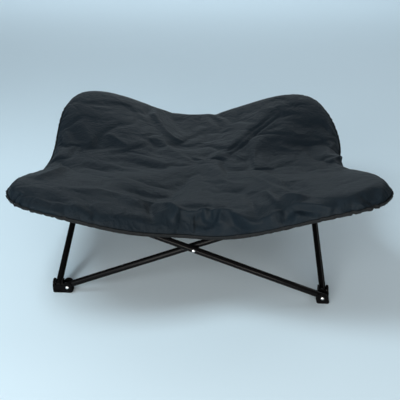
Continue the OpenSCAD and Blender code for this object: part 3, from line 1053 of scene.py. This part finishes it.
@dataclass
class PaddedCover:
    """The padded cover, made as one cloth and split into the four quarters that the hubs carry."""

    form: CoverForm
    folds: tuple[Fold, ...]
    gathers: Gathers = Gathers()
    cloth: SlackCloth = SlackCloth()
    crisp: CrispCreases = CrispCreases()
    keep_folded: float = 0.36
    deepest: float = 0.022
    seam_fade: int = 5
    hub_clear: float = 0.06
    under_share: float = 0.7
    gather_power: int = 4
    pivot: tuple[float, float, float] = (0.325, 0.325, 0.27)

    def build(self, fabric: bpy.types.Material) -> list[bpy.types.Object]:
        """Makes the quarters.

        Args:
            fabric: Material of the cover.

        Returns:
            One object per corner.
        """
        self.grid = CoverMesh(self.form)
        self._crease()
        self._settle()
        whole = self._refined()
        pieces = [self._quarter(whole, number, corner, fabric) for number, corner in enumerate(Corner)]
        bpy.data.meshes.remove(whole)
        return pieces

    def _normals(self) -> np.ndarray:
        """Normals of the grid's points."""
        grid = self.grid
        a, b, c, d = (grid.places[grid.faces[:, n]] for n in range(4))
        face = np.cross(c - a, d - b)
        total = np.zeros_like(grid.places)
        for n in range(4):
            np.add.at(total, grid.faces[:, n], face)
        return total / np.linalg.norm(total, axis=1)[:, None]

    def _crease(self) -> None:
        """Pushes the folds and the gathers into the grid."""
        grid = self.grid
        normals = self._normals()
        upper = grid.layer < grid.roll_steps
        lift = np.zeros(len(grid.places))
        for fold in self.folds:
            lift[upper] += fold.lift(grid.cloth[upper])
        fade = np.clip((grid.seam_ring - grid.layer) / self.seam_fade, 0.0, 1.0)
        lift = np.clip(lift, -self.deepest, self.deepest) * fade
        for corner in Corner:
            hub = np.hypot(*(grid.cloth - np.multiply(corner.sign, self.pivot[:2])).T)
            lift = np.where(lift < 0, lift * (1 - np.exp(-(hub / self.hub_clear) ** 2)), lift)
        below = len(grid.places) - grid.first_lower
        grid.places[grid.first_lower:, 2] += self.under_share * np.minimum(lift[:below], 0.0)
        edge = grid.places[grid.rings[grid.seam_ring]]
        steps = np.linalg.norm(np.roll(edge, -1, 0) - edge, axis=1)
        along = np.concatenate([[0.0], np.cumsum(steps)[:-1]])
        share = np.abs(np.sin(2 * grid.edge_angle)) ** self.gather_power
        arc = math.pi * grid.edge_roll / grid.roll_steps
        for n, ring in enumerate(grid.rings[:-1]):
            lift[ring] += self.gathers.lift(along, arc * abs(n - grid.seam_ring), share)
        grid.places = grid.places + normals * lift[:, None]

    def _settle(self) -> None:
        """Settles the upper cloth, down to the seam."""
        grid = self.grid
        seam = grid.rings[grid.seam_ring]
        count = seam[-1] + 1
        faces = grid.faces[(grid.faces < count).all(axis=1)]
        settled = self.cloth.settle(grid.places[:count], faces, seam)
        grid.places[:count] = self.crisp.apply(settled, faces, seam)

    def _refined(self) -> bpy.types.Mesh:
        """The whole cover, subdivided once."""
        thing = add_object("whole_cover", self.grid.to_mesh("whole_cover"))
        for _ in Corner:
            thing.data.materials.append(None)
        thing.modifiers.new("finer", "SUBSURF").levels = 1
        mesh = settled_mesh(thing)
        bpy.data.objects.remove(thing)
        return mesh

    def _quarter(self, whole: bpy.types.Mesh, number: int, corner: Corner,
                 fabric: bpy.types.Material) -> bpy.types.Object:
        """Cuts a quarter out of the whole cover and closes its cut faces.

        Args:
            whole: The refined cover.
            number: Number of the quarter.
            corner: Its corner.
            fabric: Its material.

        Returns:
            The quarter, riding on its body.
        """
        count = len(whole.polygons)
        label = np.empty(count, np.int32)
        whole.polygons.foreach_get("material_index", label)
        corners = np.empty(4 * count, np.int32)
        whole.loops.foreach_get("vertex_index", corners)
        faces = corners.reshape(-1, 4)[label == number]
        uv = np.empty(8 * count, np.float32)
        whole.uv_layers["fabric"].data.foreach_get("uv", uv)
        uv = uv.reshape(-1, 4, 2)[label == number].reshape(-1, 2)
        normals = np.empty(3 * len(whole.vertices), np.float32)
        whole.vertex_normals.foreach_get("vector", normals)
        normals = normals.reshape(-1, 3)
        used, faces = np.unique(faces, return_inverse=True)
        faces = faces.reshape(-1, 4)
        places = mesh_places(whole)[used]
        centre = self.grid.centre
        caps = closing_faces(faces, *(int(np.searchsorted(used, n)) for n in (centre, self.grid.first_lower + centre)))
        mesh = bpy.data.meshes.new(f"cover_quarter_{corner.label}")
        mesh.from_pydata(places.tolist(), [], faces.tolist() + caps)
        mesh.polygons.foreach_set("use_smooth", np.ones(len(mesh.polygons), bool))
        layer = mesh.uv_layers.new(name="fabric")
        flat = np.zeros((len(mesh.loops), 2), np.float32)
        flat[:len(uv)] = uv
        layer.data.foreach_set("uv", flat.ravel())
        split = np.empty((len(mesh.loops), 3), np.float32)
        split[:4 * len(faces)] = normals[used][faces.ravel()]
        start = 4 * len(faces)
        for cap in caps:
            a, b, c = (places[n] for n in cap[:3])
            split[start:start + len(cap)] = unit(np.cross(b - a, c - a))
            start += len(cap)
        mesh.normals_split_custom_set(split.tolist())
        mesh.materials.append(fabric)
        thing = add_object(f"padded_cover_{corner.label}", mesh)
        return self.carried(thing, corner, "cushion", "cover_fabric")

    def carried(self, thing: bpy.types.Object, corner: Corner, node: str | None, slot: str) -> bpy.types.Object:
        """Hangs a piece of the cover on its quarter's body, so that it turns and flattens with it.

        Args:
            thing: The piece, in place.
            corner: Corner whose quarter it belongs to.
            node: First words of the node that it replaces, if it replaces one.
            slot: Material slot of the record; not used.

        Returns:
            The piece.
        """
        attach(thing, f"cover_{corner.label}")
        if node:
            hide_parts(f"{node}_{corner.label}")
        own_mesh(thing)
        return thing


def unit(vector: np.ndarray) -> np.ndarray:
    """A vector, or rows of vectors, at length 1."""
    return vector / np.maximum(np.linalg.norm(vector, axis=-1, keepdims=True), 1e-12)


def closing_faces(faces: np.ndarray, top: int, bottom: int) -> list[list[int]]:
    """Faces that close the two cut faces of a quarter.

    Args:
        faces: Quads of the quarter.
        top: Number of the point in the middle of the cover's upper face.
        bottom: Number of the point under it.

    Returns:
        The closing faces, as lists of points.
    """
    edges = np.vstack([faces[:, [n, (n + 1) % 4]] for n in range(4)])
    known = set(map(tuple, edges.tolist()))
    following = {a: b for a, b in known if (b, a) not in known}
    loop = [top]
    while following[loop[-1]] != top:
        loop.append(following[loop[-1]])
    middle = loop.index(bottom)
    caps = []
    for chain in (loop[:middle + 1], loop[middle:] + [top]):
        last = len(chain) - 1
        for n in range((last + 1) // 2):
            cap = [chain[last - n], chain[last - n - 1], chain[n + 1], chain[n]]
            caps.append(list(dict.fromkeys(cap)))
    return [cap for cap in caps if len(cap) > 2]


@dataclass
class EdgeBinding:
    """Binding tape sewn round the seam of the cover."""

    cover: PaddedCover
    width: float = 9.0 * MM
    thickness: float = 2.4 * MM
    proud: float = 0.35
    stitch_pitch: float = 4.0 * MM
    stitch_radius: float = 0.35 * MM
    stitch_proud: float = 0.85
    stitch_offset: float = 0.22

    def build(self, tape: bpy.types.Material, thread: bpy.types.Material) -> list[bpy.types.Object]:
        """Makes the tape and its stitches, a quarter at a time.

        Args:
            tape: Material of the tape.
            thread: Material of the stitches.

        Returns:
            The new objects.
        """
        grid = self.cover.grid
        seam = grid.places[grid.rings[grid.seam_ring]]
        above = grid.places[grid.rings[grid.seam_ring - 1]]
        below = grid.places[grid.rings[grid.seam_ring + 1]]
        ahead = unit(np.roll(seam, -1, 0) - np.roll(seam, 1, 0))
        across = unit(above - below)
        out = unit(np.cross(ahead, across))
        across = np.cross(out, ahead)
        n = grid.half_steps
        firsts = {Corner.REAR_RIGHT: n, Corner.REAR_LEFT: 3 * n, Corner.FRONT_LEFT: 5 * n, Corner.FRONT_RIGHT: 7 * n}
        made = []
        for corner, first in firsts.items():
            run = np.arange(first, first + 2 * n + 1) % (8 * n)
            parts = seam[run], out[run], across[run]
            made.append(self._tape(corner, parts, tape))
            made.append(self._stitches(corner, parts, thread))
        return made

    def _section(self, steps: int = 5) -> np.ndarray:
        """Outline of the tape across the seam: flat, with round edges."""
        half_w, half_t = self.width / 2, self.thickness / 2
        turns = np.linspace(-math.pi / 2, math.pi / 2, steps)
        end = np.column_stack([half_t * np.sin(turns), half_w - half_t + half_t * np.cos(turns)])
        return np.vstack([end, -end])

    def _tape(self, corner: Corner, parts: tuple[np.ndarray, ...], tape: bpy.types.Material) -> bpy.types.Object:
        """One quarter of the tape.

        Args:
            corner: Corner of the quarter.
            parts: Seam points, directions away from the cover and directions across the tape.
            tape: Its material.

        Returns:
            The tape.
        """
        seam, out, across = parts
        section = self._section()
        sides = len(section)
        places = (seam + out * self.proud * self.thickness)[:, None, :] + \
            out[:, None, :] * section[None, :, :1] + across[:, None, :] * section[None, :, 1:]
        rows, ring = np.meshgrid(np.arange(len(seam) - 1), np.arange(sides), indexing="ij")
        a = (rows * sides + ring).ravel()
        b = (rows * sides + (ring + 1) % sides).ravel()
        faces = np.column_stack([a, b, b + sides, a + sides]).tolist()
        last = (len(seam) - 1) * sides
        faces += [list(range(sides))[::-1], [last + n for n in range(sides)]]
        mesh = bpy.data.meshes.new(f"binding_tape_{corner.label}")
        mesh.from_pydata(places.reshape(-1, 3).tolist(), [], faces)
        bm = bmesh.new()
        bm.from_mesh(mesh)
        bmesh.ops.recalc_face_normals(bm, faces=bm.faces)
        bm.to_mesh(mesh)
        bm.free()
        distance = np.concatenate([[0.0], np.cumsum(np.linalg.norm(np.diff(seam, axis=0), axis=1))])
        girth = np.concatenate([[0.0], np.cumsum(np.linalg.norm(np.diff(section, axis=0), axis=1))])
        cloth = np.stack(np.meshgrid(distance, girth, indexing="ij"), -1).reshape(-1, 2)
        lay_cloth(mesh, cloth)
        mesh.materials.append(tape)
        thing = add_object(f"binding_tape_{corner.label}", mesh)
        return self.cover.carried(thing, corner, "edge_binding", "binding_tape")

    def _stitches(self, corner: Corner, parts: tuple[np.ndarray, ...],
                  thread: bpy.types.Material) -> bpy.types.Object:
        """Row of stitches along one quarter of the tape.

        Args:
            corner: Corner of the quarter.
            parts: Seam points, directions away from the cover and directions across the tape.
            thread: Material of the thread.

        Returns:
            The stitches as one mesh.
        """
        seam, out, across = parts
        line = seam + out * self.stitch_proud * self.thickness + across * self.stitch_offset * self.width
        mesh = bpy.data.meshes.new("stitch_line")
        mesh.from_pydata(line.tolist(), [(n, n + 1) for n in range(len(line) - 1)], [])
        thing = add_object("stitch_line", mesh)
        StitchRow(self.stitch_pitch, self.stitch_radius).add_to(thing, thread)
        stitched = settled_mesh(thing)
        bpy.data.objects.remove(thing)
        thing = add_object(f"binding_stitches_{corner.label}", stitched)
        return self.cover.carried(thing, corner, None, "binding_tape")


@dataclass(frozen=True)
class StitchRow:
    """Geometry nodes that lay stitches along a chain of edges."""

    pitch: float
    radius: float
    stretch: float = 4.2
    wobble: float = 0.12
    seed: int = 3

    def add_to(self, thing: bpy.types.Object, thread: bpy.types.Material) -> None:
        """Adds the modifier.

        Args:
            thing: Object whose edges are followed.
            thread: Material of the stitches.
        """
        tree = bpy.data.node_groups.new("stitch_row", "GeometryNodeTree")
        tree.interface.new_socket("Geometry", in_out="INPUT", socket_type="NodeSocketGeometry")
        for name, value in (("Pitch", self.pitch), ("Radius", self.radius)):
            tree.interface.new_socket(name, in_out="INPUT", socket_type=VALUE).default_value = value
        tree.interface.new_socket("Geometry", in_out="OUTPUT", socket_type="NodeSocketGeometry")
        graph = Graph(tree)
        start, end = graph.add("NodeGroupInput"), graph.add("NodeGroupOutput")
        curve = graph.add("GeometryNodeMeshToCurve", {"Mesh": start.outputs["Geometry"]})
        points = graph.add("GeometryNodeCurveToPoints", {"Curve": curve.outputs[0], "Length": start.outputs["Pitch"]},
                           mode="LENGTH")
        ball = graph.add("GeometryNodeMeshUVSphere", {"Segments": 6, "Rings": 4, "Radius": start.outputs["Radius"]})
        size = graph.add("ShaderNodeCombineXYZ", {0: 1.0, 1: 1.0, 2: self.stretch})
        vary = graph.add("FunctionNodeRandomValue", {
            "Min": (-self.wobble,) * 3, "Max": (self.wobble,) * 3, "Seed": self.seed}, data_type="FLOAT_VECTOR")
        turn = graph.add("FunctionNodeRotateRotation", {0: points.outputs["Rotation"], 1: vary.outputs[0]},
                         rotation_space="LOCAL")
        row = graph.add("GeometryNodeInstanceOnPoints", {
            "Points": points.outputs["Points"], "Instance": ball.outputs["Mesh"], "Rotation": turn.outputs[0],
            "Scale": size.outputs[0]})
        real = graph.add("GeometryNodeRealizeInstances", {0: row.outputs[0]})
        painted = graph.add("GeometryNodeSetMaterial", {"Geometry": real.outputs[0], "Material": thread})
        tree.links.new(painted.outputs[0], end.inputs[0])
        thing.modifiers.new("stitches", "NODES").node_group = tree


@dataclass(frozen=True)
class SoftenedCopy:
    """Copy of a built node with its sharp edges eased."""

    edge: float = 0.6 * MM
    segments: int = 3
    merge: float = 2e-6
    flat_deg: float = 0.5
    sharp_deg: float = 32

    def build(self, frame: dict, node: str, body: str, finish: bpy.types.Material, slot: str) -> bpy.types.Object:
        """Makes the copy, which then stands for the node.

        Args:
            node: Name of the node.
            body: Body that carries it.
            finish: Its material.
            slot: Material slot of the record; not used.

        Returns:
            The copy.
        """
        mesh = frame["nodes"][node].data.copy()
        bm = bmesh.new()
        bm.from_mesh(mesh)
        bmesh.ops.remove_doubles(bm, verts=bm.verts, dist=self.merge)
        bmesh.ops.dissolve_limit(bm, angle_limit=math.radians(self.flat_deg), verts=bm.verts, edges=bm.edges)
        bm.to_mesh(mesh)
        bm.free()
        mesh.materials.clear()
        mesh.materials.append(finish)
        thing = add_object(f"eased_{node}", mesh)
        bevel = thing.modifiers.new("ease", "BEVEL")
        bevel.width = self.edge
        bevel.segments = self.segments
        bevel.limit_method = "ANGLE"
        bevel.angle_limit = math.radians(self.sharp_deg)
        bevel.harden_normals = True
        thing.data = settled_mesh(thing)
        thing.modifiers.clear()
        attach(thing, body)
        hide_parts(node)
        return thing


FOLDS = tuple(Fold(*row) for row in (
    (20, (3.8, -6.5, -2.9), ((-399, -121), (-381, -34), (-368, -45), (-318, -109), (-284, -145), (-221, -185))),
    (20, (3.1, 1.5, -3.0), ((-315, -50), (-232, -122), (-193, -173), (-139, -198), (-113, -204), (-59, -198))),
    (20, (6.1, -1.2, -1.5), ((-332, -307), (-276, -300), (-228, -275), (-204, -278), (-141, -270), (-87, -277))),
    (13, (-2.5, -7.8, -8.4), ((-400, -374), (-363, -391), (-334, -380), (-310, -387), (-286, -398), (-264, -404))),
    (20, (16.0, 3.5, -4.3), ((-385, -293), (-373, -256), (-363, -218), (-365, -138), (-358, -95))),
    (20, (-1.6, -4.9, -0.9), ((-387, -362), (-372, -350), (-358, -336), (-343, -302))),
    (20, (14.5, -2.0, -6.2), ((-375, -401), (-349, -410), (-326, -415), (-304, -417), (-287, -416), (-269, -425))),
    (20, (-8.8, 3.6, -6.2), ((-366, -420), (-340, -429), (-317, -435), (-298, -437))),
    (20, (-4.8, -3.7, -1.7), ((-307, -333), (-281, -347), (-256, -357), (-234, -363), (-209, -382), (-188, -405))),
    (13, (5.2, 8.0, 3.2), ((-158, -290), (-144, -311), (-134, -313), (-120, -294))),
    (20, (-12.3, 2.0, 0.7), ((-87, -280), (-74, -354), (-65, -383))),
    (13, (16.0, -6.3, -0.6), ((-21, -352), (-26, -365), (-35, -380))),
    (8, (16.0, 6.9, -0.3), ((-87, -277), (-31, -341), (25, -347), (71, -355), (113, -388), (151, -421))),
    (20, (3.9, 3.3, 1.8), ((-322, 358), (-297, 365), (-244, 363), (-218, 348), (-177, 296), (-152, 275))),
    (20, (-1.4, 2.7, -1.6), ((-185, 359), (-163, 343), (-152, 311), (-137, 262))),
    (20, (9.8, 6.1, 5.0), ((-172, 346), (-147, 340), (-133, 307), (-95, 222), (-70, 192), (-45, 177))),
    (13, (-3.6, -3.1, -4.9), ((-149, 127), (-133, 113), (-114, 102), (-98, 110))),
    (20, (-2.5, -2.2, 1.2), ((-93, 165), (-67, 141), (-40, 128), (-18, 136), (-2, 161))),
    (20, (8.5, 1.9, 1.8), ((-271, 170), (-247, 152), (-223, 128), (-202, 107), (-182, 85))),
    (20, (3.6, 2.6, 1.1), ((-211, 130), (-189, 110), (-163, 92), (-139, 80))),
    (20, (1.9, 1.2, -3.9), ((-185, 130), (-161, 110), (-142, 92), (-124, 80))),
    (20, (2.3, 2.4, 4.0), ((-316, 51), (-281, 32), (-226, 46), (-197, 44), (-139, 23), (-80, -6))),
    (8, (-2.2, 1.3, -1.1), ((-344, 1), (-345, 44), (-345, 71))),
    (20, (-1.9, 0.9, 4.8), ((-392, 174), (-368, 158), (-351, 131), (-335, 97), (-325, 70))),
    (20, (1.6, -3.6, 2.1), ((-309, 77), (-299, 107), (-293, 136), (-284, 159))),
    (8, (1.6, 1.2, 4.5), ((-418, 160), (-396, 119), (-382, 82), (-358, 77))),
    (20, (-4.9, -0.3, 1.7), ((-310, -34), (-273, -42), (-239, -54), (-201, -85))),
    (20, (-0.9, 0.6, -1.8), ((-217, -47), (-179, -57), (-137, -84), (-97, -119))),
    (20, (-1.5, 0.5, 3.5), ((-217, 24), (-181, 13), (-141, -5), (-106, -28), (-71, -63))),
    (13, (0.1, -0.8, -2.6), ((29, 369), (46, 341), (69, 305), (88, 254))),
    (13, (-1.1, -1.3, 2.1), ((18, 368), (34, 330), (57, 297), (78, 237))),
    (20, (-4.6, -8.4, -5.0), ((76, 44), (116, 97), (137, 122), (174, 178), (195, 196), (240, 244))),
    (20, (1.8, 0.0, -1.2), ((189, 311), (214, 307), (245, 310), (276, 311), (300, 312))),
    (13, (0.9, -1.9, -1.5), ((241, 253), (251, 224))),
    (20, (0.6, -1.3, 0.4), ((254, 229), (273, 232), (293, 228))),
    (20, (0.3, 1.5, 0.1), ((179, 183), (207, 199), (235, 211))),
    (13, (-2.7, 0.5, 0.1), ((201, 184), (222, 191), (240, 196), (256, 177))),
    (20, (4.5, 0.5, -1.3), ((255, 199), (275, 178), (294, 159), (318, 144))),
    (20, (0.0, 3.1, 4.2), ((210, 140), (239, 131), (267, 117), (298, 114), (324, 114))),
    (20, (5.1, 3.5, 0.9), ((232, 118), (254, 98), (276, 82), (297, 72))),
    (8, (-3.6, 1.8, 1.6), ((331, 126), (350, 117), (364, 93), (371, 59))),
    (13, (-3.9, -1.3, -0.5), ((325, 93), (324, 44), (327, -2), (337, -27))),
    (13, (-1.8, -4.5, -4.0), ((366, -10), (345, -39), (339, -65), (340, -106))),
    (13, (4.7, 1.4, 1.6), ((325, -85), (332, -125), (348, -131), (370, -106))),
    (20, (3.6, 16.0, -0.6), ((352, -41), (374, -17), (400, 41))),
    (8, (-6.5, 0.9, 2.0), ((365, 178), (375, 160), (380, 132))),
    (20, (7.8, 4.6, 1.5), ((185, 153), (180, 103), (177, 44), (177, -45))),
    (13, (2.0, 2.8, 1.7), ((98, 58), (115, 51), (137, 42))),
    (20, (3.0, 3.7, -3.3), ((47, 32), (50, -15), (60, -82), (62, -122))),
    (20, (-1.8, 2.9, 6.8), ((35, -124), (55, -148), (74, -183), (100, -203), (128, -205))),
    (13, (-3.0, 0.0, 0.7), ((32, 148), (50, 126), (66, 95))),
    (13, (-1.1, 5.0, -3.3), ((129, -108), (147, -148), (165, -183), (181, -224), (198, -259), (214, -287))),
    (13, (-5.0, -0.7, 4.4), ((137, -60), (159, -95), (174, -142), (191, -197), (203, -242))),
    (8, (0.7, -0.3, -4.8), ((185, -143), (201, -179), (207, -209), (212, -253), (225, -282))),
    (20, (-2.8, -6.3, -6.0), ((213, -222), (223, -255), (238, -286), (258, -306))),
    (13, (-8.6, -1.2, 2.2), ((184, -257), (204, -295), (219, -325), (239, -341))),
    (20, (16.0, 2.2, -6.5), ((212, -342), (232, -364), (253, -375))),
    (13, (-3.6, -0.8, -4.1), ((251, -307), (272, -316), (300, -322), (331, -315))),
    (13, (0.2, 12.4, 1.4), ((169, -256), (174, -306), (181, -374), (182, -405))),
    (13, (-5.9, -0.4, -0.9), ((136, -249), (142, -306), (147, -376), (153, -404))),
    (13, (0.5, 3.2, 1.5), ((230, -390), (212, -403), (195, -410), (180, -417), (166, -424))),
    (20, (16.0, 4.2, -8.4), ((207, -421), (199, -432), (181, -438), (160, -438), (139, -431))),
    (13, (-16.0, -2.4, 16.0), ((212, -422), (207, -435), (197, -447))),
    (20, (4.0, 4.0, -2.5), ((25, -356), (33, -369), (41, -383))),
    (20, (-2.0, -16.0, -16.0), ((14, -359), (21, -375), (24, -391))),
    (20, (16.0, 16.0, 16.0), ((52, -354), (45, -372), (39, -386))),
    (20, (-16.0, 16.0, -0.1), ((92, -380), (104, -395), (122, -414), (137, -430))),
    (13, (6.7, 0.3, -1.3), ((87, -383), (92, -401), (104, -415))),
    (13, (7.4, -6.6, 12.5), ((207, -417), (236, -429), (266, -441), (290, -451))),
    (8, (-0.7, -6.9, -2.8), ((317, -438), (331, -445), (343, -446))),
    (20, (-8.6, -4.1, -6.0), ((367, -389), (379, -405), (398, -407))),
    (8, (6.1, 2.2, 1.3), ((348, -420), (358, -428), (371, -435))),
    (20, (-16.0, -3.9, -4.7), ((287, -451), (292, -452), (298, -451))),
))


@dataclass
class DogCot:
    """The whole cot: finishes for the built nodes and the soft pieces in place of theirs."""

    frame: dict

    def build(self) -> None:
        """Makes every visible piece."""
        fabric = WovenFabric().material()
        tape = WovenFabric("binding_tape", (0.006, 0.0068, 0.0075), (0.010, 0.011, 0.012),
                           yarns_per_metre=1300.0).material()
        thread = MouldedPlastic("binding_thread", (0.02, 0.024, 0.028), (0.45, 0.6)).material()
        cover = PaddedCover(CoverForm(), FOLDS)
        pieces = cover.build(fabric) + EdgeBinding(cover).build(tape, thread)
        nylon = MouldedPlastic().material()
        pocket = WovenFabric("pocket_fabric", (0.014, 0.017, 0.02), (0.022, 0.026, 0.03)).material()
        for corner in Corner:
            for stem in ("foot", "hub"):
                name = f"{stem}_{corner.label}"
                pieces.append(SoftenedCopy().build(self.frame, name, name, nylon, "black_nylon"))
            pieces.append(SoftenedCopy(0.7 * MM).build(
                self.frame, f"corner_pocket_{corner.label}", f"hub_{corner.label}", pocket, "pocket_fabric"))
        finishes = {
            "black_powder_coat": PowderCoat().material(),
            "plug_plastic": MouldedPlastic("plug_plastic", (0.016, 0.016, 0.018), (0.42, 0.6)).material(),
            "zinc_rivet": ZincPlate().material(),
        }
        for part in self.frame["record"]["subparts"]:
            finish = finishes.get(part["material_slot"])
            if finish:
                data = self.frame["nodes"][part["node"]].data
                data.materials.clear()
                data.materials.append(finish)
        LOG.info("%d new pieces: %s", len(pieces), ", ".join(p.name for p in pieces))


def main() -> None:
    """Builds the cot's looks round the frame."""
    logging.basicConfig(level=logging.INFO, format="%(message)s")
    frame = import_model()
    bpy.context.scene.view_settings.view_transform = "Standard"
    PhotoCamera().build()
    Studio().build()
    DogCot(frame).build()


if __name__ == "__main__":
    main()
